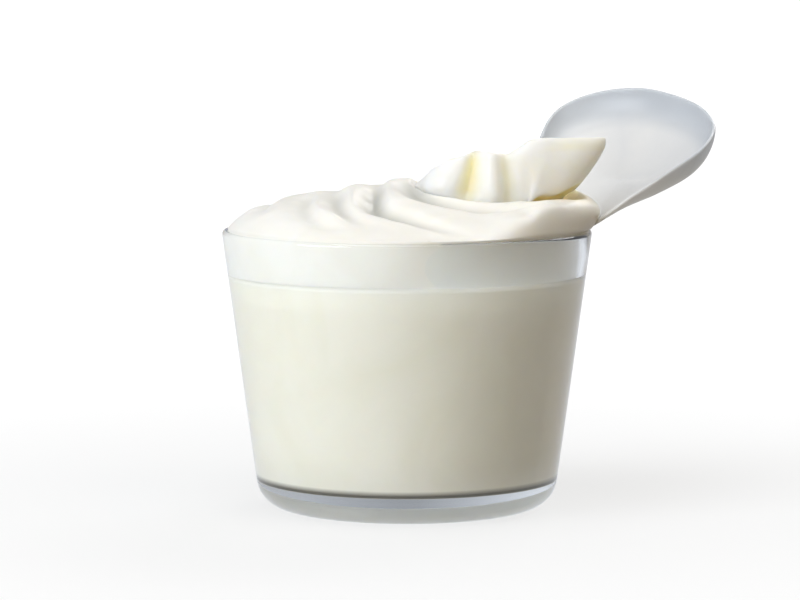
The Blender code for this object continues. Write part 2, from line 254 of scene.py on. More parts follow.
def fill_profile():
    corner_r = corner_centre(FOOT_RADIUS - WALL, BASE_THICKNESS, INNER_CORNER)
    corner_z = BASE_THICKNESS + INNER_CORNER
    corner = arc(corner_r, corner_z, INNER_CORNER + INTO_THE_CORNER, WALL_LEAN, -90, 12)
    wall_top = (inner_radius(FILL_LEVEL + MENISCUS) + INTO_THE_WALL_AT_EDGE, FILL_LEVEL + MENISCUS)
    wall_foot = (inner_radius(WALL_FOOT_HEIGHT) + INTO_THE_WALL, WALL_FOOT_HEIGHT)
    shoulder = (inner_radius(SHOULDER_HEIGHT) + INTO_THE_WALL, SHOULDER_HEIGHT)
    lip = [(wall_top[0] - 0.0022, FILL_LEVEL), (wall_top[0] - 0.0008, FILL_LEVEL + 0.4 * MENISCUS)]
    floor_z = corner[-1][1]
    return [
        (0.0, FILL_LEVEL), (HALF_WAY_OUT, FILL_LEVEL), *lip, wall_top,
        *straight(wall_top, shoulder, 4), shoulder, *straight(shoulder, wall_foot, 16), wall_foot,
        *corner, (HALF_WAY_OUT, floor_z), (0.0, floor_z),
    ]


def dairy_group():
    """What yogurt and cream share: slow clouds of fat and whey, pinholes, and a moist uneven shine."""
    tree = bpy.data.node_groups.new("dairy_surface", "ShaderNodeTree")
    for name, kind, value in (
        ("White", "NodeSocketColor", (0.9, 0.9, 0.9, 1.0)),
        ("Whey", "NodeSocketColor", (0.8, 0.8, 0.8, 1.0)),
        ("Cloud Scale", "NodeSocketFloat", 60.0),
        ("Pinholes", "NodeSocketFloat", 0.5),
        ("Roughness", "NodeSocketFloat", 0.4),
    ):
        socket = tree.interface.new_socket(name, in_out="INPUT", socket_type=kind)
        socket.default_value = value
    for name, kind in (
        ("Color", "NodeSocketColor"), ("Roughness", "NodeSocketFloat"), ("Height", "NodeSocketFloat"),
    ):
        tree.interface.new_socket(name, in_out="OUTPUT", socket_type=kind)
    given = tree.nodes.new("NodeGroupInput").outputs
    place = put(tree, "TexCoord").outputs["Object"]
    clouds = put(tree, "TexNoise", Vector=place, Scale=given["Cloud Scale"], Detail=4.0, Distortion=1.2)
    grain = put(tree, "TexNoise", Vector=place, Scale=900.0, Detail=3.0, Roughness=0.6)
    holes = put(tree, "TexVoronoi", Vector=place, Scale=420.0, Randomness=1.0)
    pinhole = spread(tree, holes.outputs["Distance"], 0.05, 0.16, 1.0, 0.0)
    sparse = put(tree, "TexNoise", Vector=place, Scale=150.0, Detail=1.0)
    pinhole = reckon(tree, "MULTIPLY", pinhole, spread(tree, sparse.outputs["Fac"], 0.56, 0.66, 0.0, 1.0))
    pinhole = reckon(tree, "MULTIPLY", pinhole, given["Pinholes"])
    cloudy = spread(tree, clouds.outputs["Fac"], 0.38, 0.68, 0.0, 1.0)
    colour = blend_colours(tree, cloudy, given["White"], given["Whey"])
    colour = blend_colours(tree, reckon(tree, "MULTIPLY", pinhole, 0.5), colour, given["Whey"])
    uneven = reckon(tree, "MULTIPLY_ADD", grain.outputs["Fac"], 0.16, -0.08)
    moist = reckon(tree, "MULTIPLY_ADD", cloudy, -0.10, uneven)
    fine_relief = reckon(tree, "MULTIPLY", grain.outputs["Fac"], 0.12)
    height = reckon(tree, "MULTIPLY_ADD", clouds.outputs["Fac"], 0.6, fine_relief)
    height = reckon(tree, "MULTIPLY_ADD", pinhole, -0.35, height)
    result = tree.nodes.new("NodeGroupOutput").inputs
    tree.links.new(colour, result["Color"])
    tree.links.new(reckon(tree, "ADD", given["Roughness"], moist, clamp=True), result["Roughness"])
    tree.links.new(height, result["Height"])
    return tree


def dairy_surface(tree, white, whey, cloud_scale, pinholes, roughness):
    """The shared dairy effect placed in one material with its own values."""
    made = tree.nodes.new("ShaderNodeGroup")
    made.node_tree = bpy.data.node_groups.get("dairy_surface") or dairy_group()
    made.inputs["White"].default_value = (*white, 1.0)
    made.inputs["Whey"].default_value = (*whey, 1.0)
    made.inputs["Cloud Scale"].default_value = cloud_scale
    made.inputs["Pinholes"].default_value = pinholes
    made.inputs["Roughness"].default_value = roughness
    return made.outputs


def set_yogurt_finish():
    """Creamy white and semi-matte. A dark tint low down stands in for the shade line over the thick base."""
    material, tree, shader = new_finish(
        "set_yogurt", (0.88, 0.87, 0.82), IOR=1.38, Subsurface_Weight=0.25, Subsurface_Scale=0.003,
    )
    shader.inputs["Subsurface Radius"].default_value = (1.0, 0.8, 0.5)
    surface = dairy_surface(tree, (0.90, 0.875, 0.785), (0.87, 0.845, 0.735), 45.0, 0.5, 0.45)
    level = put(tree, "SeparateXYZ", Vector=put(tree, "TexCoord").outputs["Object"]).outputs["Z"]
    under_line = spread(tree, level, BASE_THICKNESS + 0.0004, BASE_THICKNESS + 0.0015, 1.0, 0.0)
    over_floor = spread(tree, level, BASE_THICKNESS - 0.0002, BASE_THICKNESS, 0.0, 1.0)
    dark_line = reckon(tree, "MULTIPLY", reckon(tree, "MULTIPLY", under_line, over_floor), 0.9)
    colour = blend_colours(tree, dark_line, surface["Color"], (0.07, 0.06, 0.035))
    tree.links.new(colour, shader.inputs["Base Color"])
    tree.links.new(surface["Roughness"], shader.inputs["Roughness"])
    bump = put(tree, "Bump", Height=surface["Height"], Strength=0.25, Distance=0.0003)
    tree.links.new(bump.outputs["Normal"], shader.inputs["Normal"])
    return material


fill = turned("set_yogurt_body", fill_profile(), 192)
fill.data.materials.append(set_yogurt_finish())
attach(fill, "root")
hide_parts("yogurt_fill")


# Stirred yogurt. A spoon heaped it over the whole mouth and turned it, so that arms run round it in a
# spiral, with deep grooves by the cream. It rests against the glass at the left. At the right it stands a
# little off the glass and bulges over the rim.
HEAP_CLEARANCE = 0.0004
HEAP_CENTRE = (0.0145, 0.0020)
HEAP_RADIUS = 0.0386
HEAP_TOP = 0.0137
HEAP_FALL_LEFT = 0.0094
HEAP_FALL_FRONT = 0.0140
HEAP_FALL_BACK = 0.0140
HEAP_RIGHT = 0.0070
HEAP_SHOULDER = 0.0016
HEAP_EDGE_SHARPNESS = 14
HEAP_SHARPNESS_RIGHT = 34
ARMS = 4
ARM_GROWTH = 1.45
GROOVE_ON_LEFT = 0.0220
ARM_DEPTH = 0.0042
TRENCH_SHARE = 0.35
# Strokes of the spoon on the viewer's side, in millimetres: place along each, half its width, its rise.
STROKES = [
    [(2.6, 9.0, 2.4, -0.3), (1.2, 2.0, 2.6, -2.0), (1.2, -6.0, 2.8, -3.0), (4.2, -13.2, 2.3, -2.8),
     (8.4, -16.6, 1.9, -2.3), (13.1, -18.0, 1.7, -1.8), (20.0, -18.3, 1.7, -1.3), (28.0, -17.0, 1.6, -0.8)],
    [(-4.6, 15.0, 1.8, -0.8), (-6.2, 4.0, 1.9, -1.5), (-6.6, -5.5, 2.0, -3.2), (-6.8, -14.7, 2.1, -3.6),
     (-5.2, -20.7, 2.0, -3.2), (-1.6, -24.0, 1.9, -2.6), (3.4, -27.4, 1.8, -1.8), (10.5, -31.1, 1.8, -0.9),
     (18.0, -33.0, 1.8, 0.0)],
    [(-13.5, 14.0, 1.9, -0.6), (-15.8, 2.0, 2.0, -1.3), (-15.2, -6.3, 2.1, -2.2), (-14.4, -15.0, 2.0, -2.3),
     (-12.4, -22.5, 1.8, -1.6), (-9.9, -27.4, 1.7, -0.9), (-5.0, -32.0, 1.8, 0.0)],
    [(-20.5, 3.0, 1.9, -0.4), (-21.2, -6.4, 1.9, -1.6), (-21.6, -14.2, 1.8, -1.6), (-19.9, -21.5, 1.7, -1.3),
     (-17.0, -27.4, 1.7, -0.9), (-12.0, -33.0, 1.8, 0.0)],
    [(-18.2, -18.0, 1.6, 0.0), (-17.6, -21.4, 1.8, 0.7), (-15.5, -25.3, 1.9, 0.8), (-12.6, -29.4, 1.8, 0.0)],
    [(-26.5, 16.0, 1.5, -0.8), (-29.0, 5.0, 1.5, -1.3), (-30.8, -5.0, 1.6, -1.0), (-30.4, -14.0, 1.7, 0.0)],
    [(25.0, -20.5, 1.2, 0.0), (25.3, -23.0, 1.4, -1.1), (25.3, -26.5, 1.5, -0.5), (25.0, -30.0, 1.5, 0.0)],
]
# How much wider a groove runs out on its far side, away from the cream.
FAR_SIDE = 1.6
DITCH_DEPTH = 0.0007
SIDE_INTO_FILL = 0.0006
# The bulge on the right: degrees from +X, degrees it spreads over, and how far out it goes.
BULGE_AT = -12
BULGE_SPREAD = 26
BULGE_RIGHT = 0.0012
BULGE_OVER_RIM = 0.0024
BULGE_HEIGHT = 0.0078
CREAM_SEAT = 0.0088
CREAM_SEAT_SLOPE = -0.19
SEAT_SPREAD = 1.03
# Foot of the cream: degrees from +X, distance from the heap's centre.
CREAM_FOOT = [
    (0, 0.0165), (40, 0.0150), (90, 0.0138), (140, 0.0136), (170, 0.0126), (203, 0.0124), (231, 0.0150),
    (258, 0.0160), (300, 0.0162), (325, 0.0175), (345, 0.0172), (360, 0.0165),
]


def smoothstep(low, high, value):
    share = min(1.0, max(0.0, (value - low) / (high - low)))
    return share * share * (3 - 2 * share)


def round_through(stations, at):
    """A smooth curve round the circle through (degrees, value) stations. The last repeats the first."""
    last = len(stations) - 1
    for i in range(last):
        (low, before), (high, after) = stations[i], stations[i + 1]
        if at <= high:
            back = stations[i - 1] if i > 0 else (stations[last - 1][0] - 360, stations[last - 1][1])
            ahead = stations[i + 2] if i + 2 <= last else (stations[1][0] + 360, stations[1][1])
            span = high - low
            leave = (after - back[1]) / (high - back[0]) * span
            arrive = (ahead[1] - before) / (ahead[0] - low) * span
            t = (at - low) / span
            return (
                (2 * t**3 - 3 * t**2 + 1) * before + (t**3 - 2 * t**2 + t) * leave
                + (3 * t**2 - 2 * t**3) * after + (t**3 - t**2) * arrive
            )
    return stations[last][1]


def arm_wave(out, turn):
    """0 in the grooves between the swirl's arms and 1 on their crests. The spiral widens as it grows."""
    phase = log(max(out, 0.001) / GROOVE_ON_LEFT) / log(ARM_GROWTH) - ARMS * (turn / (2 * pi) - 0.5)
    return abs(sin(pi * (phase - floor(phase)))) ** 0.8


def on_curve(stations, place):
    """A station on the smooth open curve through the stations, place counted in stations from the first."""
    last = len(stations) - 1
    i = min(int(place), last - 1)
    t = place - i
    p0, p1, p2, p3 = (Vector(stations[min(max(i + k, 0), last)]) for k in (-1, 0, 1, 2))
    bend = 2 * p0 - 5 * p1 + 4 * p2 - p3
    return 0.5 * (2 * p1 + (p2 - p0) * t + bend * t**2 + (3 * p1 - p0 - 3 * p2 + p3) * t**3)


def fine_stroke(stations, steps):
    """Short straight pieces along a stroke, with how wide and how high it is at each end."""
    count = (len(stations) - 1) * steps
    points = [on_curve(stations, i / steps) * 0.001 for i in range(count + 1)]
    return list(zip(points, points[1:]))


FINE_STROKES = [fine_stroke(stations, 5) for stations in STROKES]


def stroke_relief(x, y):
    """How far the spoon's strokes raise or lower the surface at a place."""
    cut, rise = 0.0, 0.0
    for pieces in FINE_STROKES:
        best, width, height, side = 1.0, 1.0, 0.0, 0.0
        for a, b in pieces:
            along_x, along_y = b[0] - a[0], b[1] - a[1]
            share = ((x - a[0]) * along_x + (y - a[1]) * along_y) / (along_x**2 + along_y**2)
            share = min(1.0, max(0.0, share))
            away = (x - a[0] - share * along_x) ** 2 + (y - a[1] - share * along_y) ** 2
            if away < best:
                best, width, height = away, mix(a[2], b[2], share), mix(a[3], b[3], share)
                side = along_x * (y - a[1]) - along_y * (x - a[0])
        if side < 0 and height < 0:
            width *= FAR_SIDE
        effect = height * exp(-best / width**2)
        if effect < 0:
            cut = -sqrt(cut**2 + effect**2)
        else:
            rise += effect
    return rise + cut


def seat_height(x):
    """Height above the rim plane of the sloping flat that the cream stands on."""
    return CREAM_SEAT + CREAM_SEAT_SLOPE * x


def heap_height(share, turn, x, y):
    """Smooth height of the heap above the rim plane, at a share of the way from its centre to the glass."""
    towards = HEAP_FALL_FRONT if sin(turn) < 0 else HEAP_FALL_BACK
    fall = mix(HEAP_FALL_LEFT, towards, sin(turn) ** 2)
    right = HEAP_RIGHT + HEAP_SHOULDER * smoothstep(-0.006, 0.008, y)
    level = mix(HEAP_TOP - fall * share, right, smoothstep(0.012, 0.032, x))
    sharpness = mix(HEAP_EDGE_SHARPNESS, HEAP_SHARPNESS_RIGHT, smoothstep(0.016, 0.032, x))
    return level * (1 - share**sharpness)


def swirl_surface(out, share, turn, x, y):
    """Height above the rim plane, and how deep in a groove the place is, or -1 under the leaf for a painted
    yellow glow.
    """
    at = degrees(turn)
    foot = round_through(CREAM_FOOT, at)
    depth = ARM_DEPTH * (1 - 0.8 * smoothstep(0.50, 0.95, share)) * (1 - 0.6 * smoothstep(0.006, 0.025, x))
    groove = depth * mix(TRENCH_SHARE, 1 - arm_wave(out, turn), smoothstep(1.02, 1.35, out / foot))
    in_view = smoothstep(140, 160, at) * (1 - smoothstep(300, 322, at))
    strokes = stroke_relief(x, y) if in_view > 0 else 0.0
    relief = mix(-groove, strokes, in_view) * smoothstep(1.0, 0.93, share)
    free = max(0.0, heap_height(share, turn, x, y) + relief)
    uneven = 0.00022 * noise.noise(Vector((x, y, 0.0)) * 260) * smoothstep(1.0, 0.9, share)
    under_leaf = smoothstep(306, 330, at) + 1 - smoothstep(15, 45, at)
    fold = smoothstep(0.0004, 0.0037, -relief)
    # Under the leaf the value is -1: a painted yellow glow in the leaf's shade, for light that comes through
    # the leaf.
    fold = mix(fold, -1.0, under_leaf * smoothstep(1.50, 1.24, out / foot))
    seat_end = mix(1.14, 1.42, under_leaf)
    return mix(seat_height(x), free + uneven, smoothstep(SEAT_SPREAD, seat_end, out / foot)), fold


def reach_to_circle(centre, direction, radius):
    """Distance from a point inside a circle round the axis to that circle, along a unit direction."""
    along = centre[0] * direction[0] + centre[1] * direction[1]
    short = radius**2 - (centre[0] ** 2 + centre[1] ** 2)
    return -along + sqrt(along**2 + short)


def swirl_top(angle, k, seat_rings, arm_rings):
    """A point on ring k of the seat and the arms, and how deep in a groove it lies, or -1 under the leaf for
    a painted yellow glow.
    """
    direction = (cos(angle), sin(angle))
    bulge = exp(-((((degrees(angle) - BULGE_AT + 180) % 360 - 180) / BULGE_SPREAD) ** 2))
    seat = SEAT_SPREAD * round_through(CREAM_FOOT, degrees(angle))
    reach = reach_to_circle(HEAP_CENTRE, direction, HEAP_RADIUS) + BULGE_RIGHT * bulge
    out = seat * k / seat_rings if k <= seat_rings else mix(seat, reach, (k - seat_rings) / arm_rings)
    x, y = HEAP_CENTRE[0] + out * direction[0], HEAP_CENTRE[1] + out * direction[1]
    height, depth = swirl_surface(out, out / reach, angle, x, y)
    belly = sin(pi * min(1.0, height / BULGE_HEIGHT)) * smoothstep(0.8, 0.96, out / reach)
    push = BULGE_OVER_RIM * bulge * belly
    place = (x + push * direction[0], y + push * direction[1], POT_HEIGHT + HEAP_CLEARANCE + height)
    return place, depth


def swirl_side(angle, level):
    """A point on the side that stands in the glass, at a share of the way up."""
    direction = (cos(angle), sin(angle))
    z = mix(FILL_LEVEL - SIDE_INTO_FILL, POT_HEIGHT + 0.0002, level)
    away = smoothstep(0.5, 0.95, cos(angle + 1.0))
    ditch = DITCH_DEPTH * sin(pi * level) * away
    touching = mix(0.0004, -0.0002, away)
    out = reach_to_circle(HEAP_CENTRE, direction, inner_radius(min(z, POT_HEIGHT)) + touching - ditch)
    return HEAP_CENTRE[0] + out * direction[0], HEAP_CENTRE[1] + out * direction[1], z


def build_swirl(segments, seat_rings, arm_rings, side_rings):
    angles = [2 * pi * i / segments for i in range(segments)]
    rings = [[(*HEAP_CENTRE, POT_HEIGHT + HEAP_CLEARANCE + seat_height(HEAP_CENTRE[0]))]]
    depths = [0.0]
    for k in range(1, seat_rings + arm_rings + 1):
        placed = [swirl_top(angle, k, seat_rings, arm_rings) for angle in angles]
        rings.append([place for place, _ in placed])
        depths.extend(depth for _, depth in placed)
    for k in range(1, side_rings + 1):
        rings.append([swirl_side(angle, 1 - k / side_rings) for angle in angles])
        depths.extend([0.0] * segments)
    rings.append([(0.0, 0.0, FILL_LEVEL - SIDE_INTO_FILL)])
    depths.append(0.0)
    thing = skin("stirred_yogurt", rings)
    # The fold value carries painted shade, the grey in the grooves, and the painted yellow glow under the
    # leaf.
    thing.data.attributes.new("fold", "FLOAT", "POINT").data.foreach_set("value", depths)
    return thing


def stirred_yogurt_finish():
    """Whiter than the set yogurt and satin, with a painted yellow glow under the leaf for light that comes
    through the leaf into its shade.

    A grey tint down in the grooves stands in for their shade, which light inside the yogurt washes out.
    """
    material, tree, shader = new_finish(
        "stirred_yogurt", (0.93, 0.93, 0.90), IOR=1.38, Subsurface_Weight=0.35, Subsurface_Scale=0.002,
    )
    shader.inputs["Subsurface Radius"].default_value = (1.0, 0.85, 0.6)
    surface = dairy_surface(tree, (0.94, 0.925, 0.88), (0.92, 0.90, 0.84), 70.0, 0.35, 0.40)
    fold = put(tree, "Attribute", {"attribute_name": "fold"}).outputs["Fac"]
    deep = reckon(tree, "MULTIPLY", fold, 0.9, clamp=True)
    painted_glow_under_leaf = reckon(tree, "MULTIPLY", fold, -1.0, clamp=True)
    colour = blend_colours(tree, deep, surface["Color"], (0.50, 0.50, 0.455))
    # Painted yellow glow under the leaf, for light that comes through it into the shade there.
    colour = blend_colours(tree, painted_glow_under_leaf, colour, (0.97, 0.80, 0.38))
    tree.links.new(colour, shader.inputs["Base Color"])
    tree.links.new(surface["Roughness"], shader.inputs["Roughness"])
    bump = put(tree, "Bump", Height=surface["Height"], Strength=0.35, Distance=0.0004)
    tree.links.new(bump.outputs["Normal"], shader.inputs["Normal"])
    return material


swirl = build_swirl(360, 4, 96, 16)
swirl.data.materials.append(stirred_yogurt_finish())
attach(swirl, "root")
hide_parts("yogurt_swirl")


# Thick cream. Spooned on last, stiff enough to stand in pleats round a hollow, and drawn out to the right
# as a leaf that hangs over the yogurt. The yellow in its folds is painted warm shade, and the yellow under
# the leaf is a painted glow.
CREAM_MIDDLE = 0.0130
# Crest of the cream: degrees from +X, height above the rim plane.
CREAM_CREST = [
    (0, 0.0160), (40, 0.0085), (90, 0.0088), (150, 0.0100), (175, 0.0106), (190, 0.0110),
    (205, 0.0124), (230, 0.0140), (243, 0.0154), (256, 0.0162), (270, 0.0172), (282, 0.0173),
    (292, 0.0174), (300, 0.0168), (309, 0.0182), (318, 0.0198), (335, 0.0202), (350, 0.0196),
    (360, 0.0160),
]
# How far the crest leans out beyond the foot.
CREAM_LEAN = [
    (0, 0.0060), (40, -0.0040), (90, -0.0048), (150, -0.0028), (175, -0.0014), (200, -0.0016),
    (225, -0.0030), (260, -0.0036), (300, -0.0010), (316, 0.0000), (324, 0.0022), (330, 0.0050),
    (336, 0.0090), (342, 0.0124), (348, 0.0128), (353, 0.0112), (360, 0.0060),
]
# Folds in the wall: degrees at the crest and at the foot, half their width, and how far they stand out.
CREAM_FOLDS = [
    (236, 232, 20, 16, 0.0012),
    (269, 261, 6, 10, -0.0026),
    (283, 283, 6, 7, 0.0012),
    (296, 295, 6, 6, -0.0009),
    (314, 312, 12, 11, 0.0007),
]
CREAM_SUNK = 0.0005
# The brim is rounded off over the upper part of the wall.
BRIM_START = 0.86
BRIM_ROUND = 0.0014
# How far the leaf's foot is turned back from its crest, in degrees, and how far it is cut under.
LEAF_TURN = 16
LEAF_UNDERCUT = 0.0026


def cream_folds(at, height):
    """How far the wall stands out at an angle and a share of its height."""
    total = 0.0
    for top, bottom, top_width, bottom_width, out in CREAM_FOLDS:
        middle, width = mix(bottom, top, height), mix(bottom_width, top_width, height)
        total += out * exp(-(((at - middle) / width) ** 2))
    return total


def leaf_share(at):
    """1 where the cream is drawn out as a leaf, 0 elsewhere."""
    return smoothstep(306, 324, at) * (1 - smoothstep(350, 360, at))


def hanging_edge(at):
    """Share of the wall's height at which the leaf's uneven lower edge hangs. It rises to the right."""
    return mix(0.0, 0.40, smoothstep(306, 350, at)) + 0.04 * sin(radians(19 * at))


def cream_point(radius, at, height, on_top):
    """A point of the cream: its top at a share of the radius, or its side at a share of the height."""
    crest, foot = round_through(CREAM_CREST, at), round_through(CREAM_FOOT, at)
    lean, leaf = round_through(CREAM_LEAN, at), leaf_share(at)
    turn = at
    if on_top:
        steep = mix(2.2, 6.0, smoothstep(215, 300, at) * (1 - smoothstep(345, 360, at)))
        out = radius * (foot + lean - BRIM_ROUND) + radius**4 * cream_folds(at, 1.0)
        z = mix(CREAM_MIDDLE, crest, radius**steep * (1 + steep * (1 - radius)))
    else:
        rounding = pi / 2 * max(0.0, (height - BRIM_START) / (1 - BRIM_START))
        edge = hanging_edge(at)
        undercut = LEAF_UNDERCUT * leaf * (1 - smoothstep(edge - 0.06, edge + 0.06, height))
        folded = cream_folds(at, height) * (0.4 + 0.6 * smoothstep(0.0, 0.3, height))
        out = foot + lean * height + folded + 0.0010 * sin(pi * height) - undercut
        out -= BRIM_ROUND * (1 - cos(rounding))
        rounded = BRIM_START + (1 - BRIM_START) * sin(rounding)
        z = crest * mix(height, rounded, smoothstep(0.80, 0.90, height))
        turn = at - LEAF_TURN * leaf * (1 - height)
    x = HEAP_CENTRE[0] + out * cos(radians(turn))
    y = HEAP_CENTRE[1] + out * sin(radians(turn))
    if not on_top:
        z += (seat_height(x) + HEAP_CLEARANCE - CREAM_SUNK) * (1 - height)
    ripple = noise.noise(Vector((x, y, z)) * 230) * 0.00025
    return x + ripple * cos(radians(turn)), y + ripple * sin(radians(turn)), POT_HEIGHT + z + ripple


def cream_warmth(at, height, on_top):
    """How much yellow shows: painted warm shade in the folds, a yellow band along the leaf's brim, and most
    under the leaf, where it is a painted glow in the leaf's shade.
    """
    leaf = leaf_share(at)
    # Painted warm shade: yellow in the folds, strongest where a fold sinks in.
    painted_shade_in_folds = min(1.0, max(0.0, -cream_folds(at, height) / 0.0024))
    on_leaf = smoothstep(318, 332, at) * (1 - smoothstep(344, 352, at))
    brim = 0.40 * on_leaf * smoothstep(0.80, 0.90, height)
    edge = hanging_edge(at)
    # Painted glow: yellow in the shade under the leaf, for light that comes through it.
    under = leaf * (1 - smoothstep(edge - 0.01, edge + 0.07, height))
    return max(painted_shade_in_folds, brim, under, 0.25 if on_top else 0.0)


def build_cream(segments, top_rings, side_rings):
    rings = [[(*HEAP_CENTRE, POT_HEIGHT + CREAM_MIDDLE)]]
    warmth = [0.25]
    angles = [360 * i / segments for i in range(segments)]
    for k in range(1, top_rings + 1):
        radius = sin(pi / 2 * k / top_rings)
        rings.append([cream_point(radius, at, 1.0, True) for at in angles])
        warmth.extend([cream_warmth(at, 1.0, True) for at in angles])
    for k in range(1, side_rings + 1):
        height = 1 - k / side_rings
        rings.append([cream_point(1.0, at, height, False) for at in angles])
        warmth.extend([cream_warmth(at, height, False) for at in angles])
    rings.append([(*HEAP_CENTRE, POT_HEIGHT + HEAP_CLEARANCE - CREAM_SUNK + seat_height(HEAP_CENTRE[0]))])
    warmth.append(0.0)
    thing = skin("thick_cream", rings)
    # The warmth value carries painted warm shade in the folds and a painted glow under the leaf, besides a
    # light yellow over the top and along the brim.
    thing.data.attributes.new("warmth", "FLOAT", "POINT").data.foreach_set("value", warmth)
    return thing


def thick_cream_finish():
    """Warm white and satin, with yellow that is painted warm shade in the folds and a painted glow under the
    leaf.
    """
    material, tree, shader = new_finish(
        "thick_cream", (0.94, 0.92, 0.84), IOR=1.40, Subsurface_Weight=0.9, Subsurface_Scale=0.007,
    )
    shader.inputs["Subsurface Radius"].default_value = (1.0, 0.90, 0.74)
    surface = dairy_surface(tree, (0.95, 0.945, 0.905), (0.94, 0.92, 0.85), 90.0, 0.25, 0.38)
    warmth = put(tree, "Attribute", {"attribute_name": "warmth"}).outputs["Fac"]
    # The warmth yellow is painted warm shade in the folds and a painted glow under the leaf.
    colour = blend_colours(tree, warmth, surface["Color"], (0.96, 0.86, 0.60))
    tree.links.new(colour, shader.inputs["Base Color"])
    tree.links.new(surface["Roughness"], shader.inputs["Roughness"])
    bump = put(tree, "Bump", Height=surface["Height"], Strength=0.3, Distance=0.0004)
    tree.links.new(bump.outputs["Normal"], shader.inputs["Normal"])
    return material


cream = build_cream(300, 30, 48)
cream.data.materials.append(thick_cream_finish())
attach(cream, "root")
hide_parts("cream_fold")


# Lid. A thin disc of milky plastic, peeled back and curled, still held along a short arc of the rim.
# Its edge is turned up all round, and light comes through it softly.
LID_THICKNESS = 0.0008
# How high the edge turns up, and the share of the way in from the outline over which it does.
LID_EDGE = 0.0047
LID_CORNER = 0.13
LID_MIDDLE = Vector((0.0480, 0.0220, 0.0688))
LID_FACING = Vector((-0.25, -0.34, 0.907)).normalized()
LID_HINGE_RADIUS = 0.0398
LID_HINGE_HEIGHT = 0.0608
LID_HINGE_STEPS = 6
# Outline of the lid's panel, from the near end of its hinge on the rim, out and round to the far end.
LID_OUTLINE = [
    (0.0396, -0.0045, 0.0608), (0.0460, -0.0060, 0.0644), (0.0546, -0.0025, 0.0677),
    (0.0628, 0.0045, 0.0718), (0.0672, 0.0150, 0.0757), (0.0673, 0.0240, 0.0785),
    (0.0650, 0.0320, 0.0808), (0.0598, 0.0400, 0.0828), (0.0532, 0.0465, 0.0838),
    (0.0440, 0.0508, 0.0825), (0.0358, 0.0508, 0.0786), (0.0312, 0.0450, 0.0712),
    (0.0285, 0.0365, 0.0650), (0.0272, 0.0292, 0.0608),
]


def lid_outline():
    """The free outline, closed along the arc of the rim that the lid is still held on."""
    start = atan2(LID_OUTLINE[-1][1], LID_OUTLINE[-1][0])
    end = atan2(LID_OUTLINE[0][1], LID_OUTLINE[0][0])
    turns = [mix(start, end, i / LID_HINGE_STEPS) for i in range(1, LID_HINGE_STEPS)]
    radius = LID_HINGE_RADIUS
    hinge = [(radius * cos(turn), radius * sin(turn), LID_HINGE_HEIGHT) for turn in turns]
    return [Vector(p) for p in [*LID_OUTLINE, *hinge]]


def on_loop(points, share):
    """A point on the smooth closed loop through the points, share from 0 to 1 of the way round."""
    count = len(points)
    i = int((share % 1.0) * count)
    t = (share % 1.0) * count - i
    p0, p1, p2, p3 = (points[(i + k) % count] for k in (-1, 0, 1, 2))
    bend = 2 * p0 - 5 * p1 + 4 * p2 - p3
    return 0.5 * (2 * p1 + (p2 - p0) * t + bend * t**2 + (3 * p1 - p0 - 3 * p2 + p3) * t**3)


def lid_point(outline, share, k, panel_rings, edge_rings):
    """A point on ring k of the panel and its turned-up edge, and how much painted grey shade shows there."""
    hinge_share = (len(LID_OUTLINE) - 1) / len(outline)
    edge = on_loop(outline, share)
    outward = (edge - LID_MIDDLE).normalized()
    free = smoothstep(0.0, 0.14, share) * (1 - smoothstep(hinge_share - 0.14, hinge_share, share))
    radius, turn_up = (1 - LID_CORNER) * k / panel_rings, 0.0
    if k > panel_rings:
        turn = pi / 2 * (k - panel_rings) / edge_rings
        radius = 1 - LID_CORNER * (1 - sin(turn))
        turn_up = (1 - cos(turn)) * LID_EDGE * (0.12 + 0.88 * free)
    point = LID_MIDDLE.lerp(edge, radius)
    point.z = mix(LID_MIDDLE.z, edge.z, radius ** mix(1.15, 1.7, free))
    point += LID_FACING * turn_up + outward * (0.25 * turn_up)
    # Painted shade: grey on the upper part of the turned-up edge, where the plastic is seen edge-on.
    return point, smoothstep(0.78, 1.0, radius) * smoothstep(0.066, 0.078, point.z)


def build_lid(segments, panel_rings, edge_rings):
    outline = lid_outline()
    rings, painted_edge_shades = [[LID_MIDDLE]], [0.0]
    for k in range(1, panel_rings + edge_rings + 1):
        placed = [lid_point(outline, i / segments, k, panel_rings, edge_rings) for i in range(segments)]
        rings.append([point for point, _ in placed])
        painted_edge_shades.extend(tint for _, tint in placed)
    thing = skin("milky_lid", rings)
    # This value is painted shade on the lid's upper edge.
    thing.data.attributes.new("painted_edge_shade", "FLOAT", "POINT").data.foreach_set("value", painted_edge_shades)
    solid = thing.modifiers.new("thickness", "SOLIDIFY")
    solid.thickness = LID_THICKNESS
    solid.offset = 0.0
    soft = thing.modifiers.new("rounded", "SUBSURF")
    soft.levels = 2
    soft.render_levels = 2
    return thing


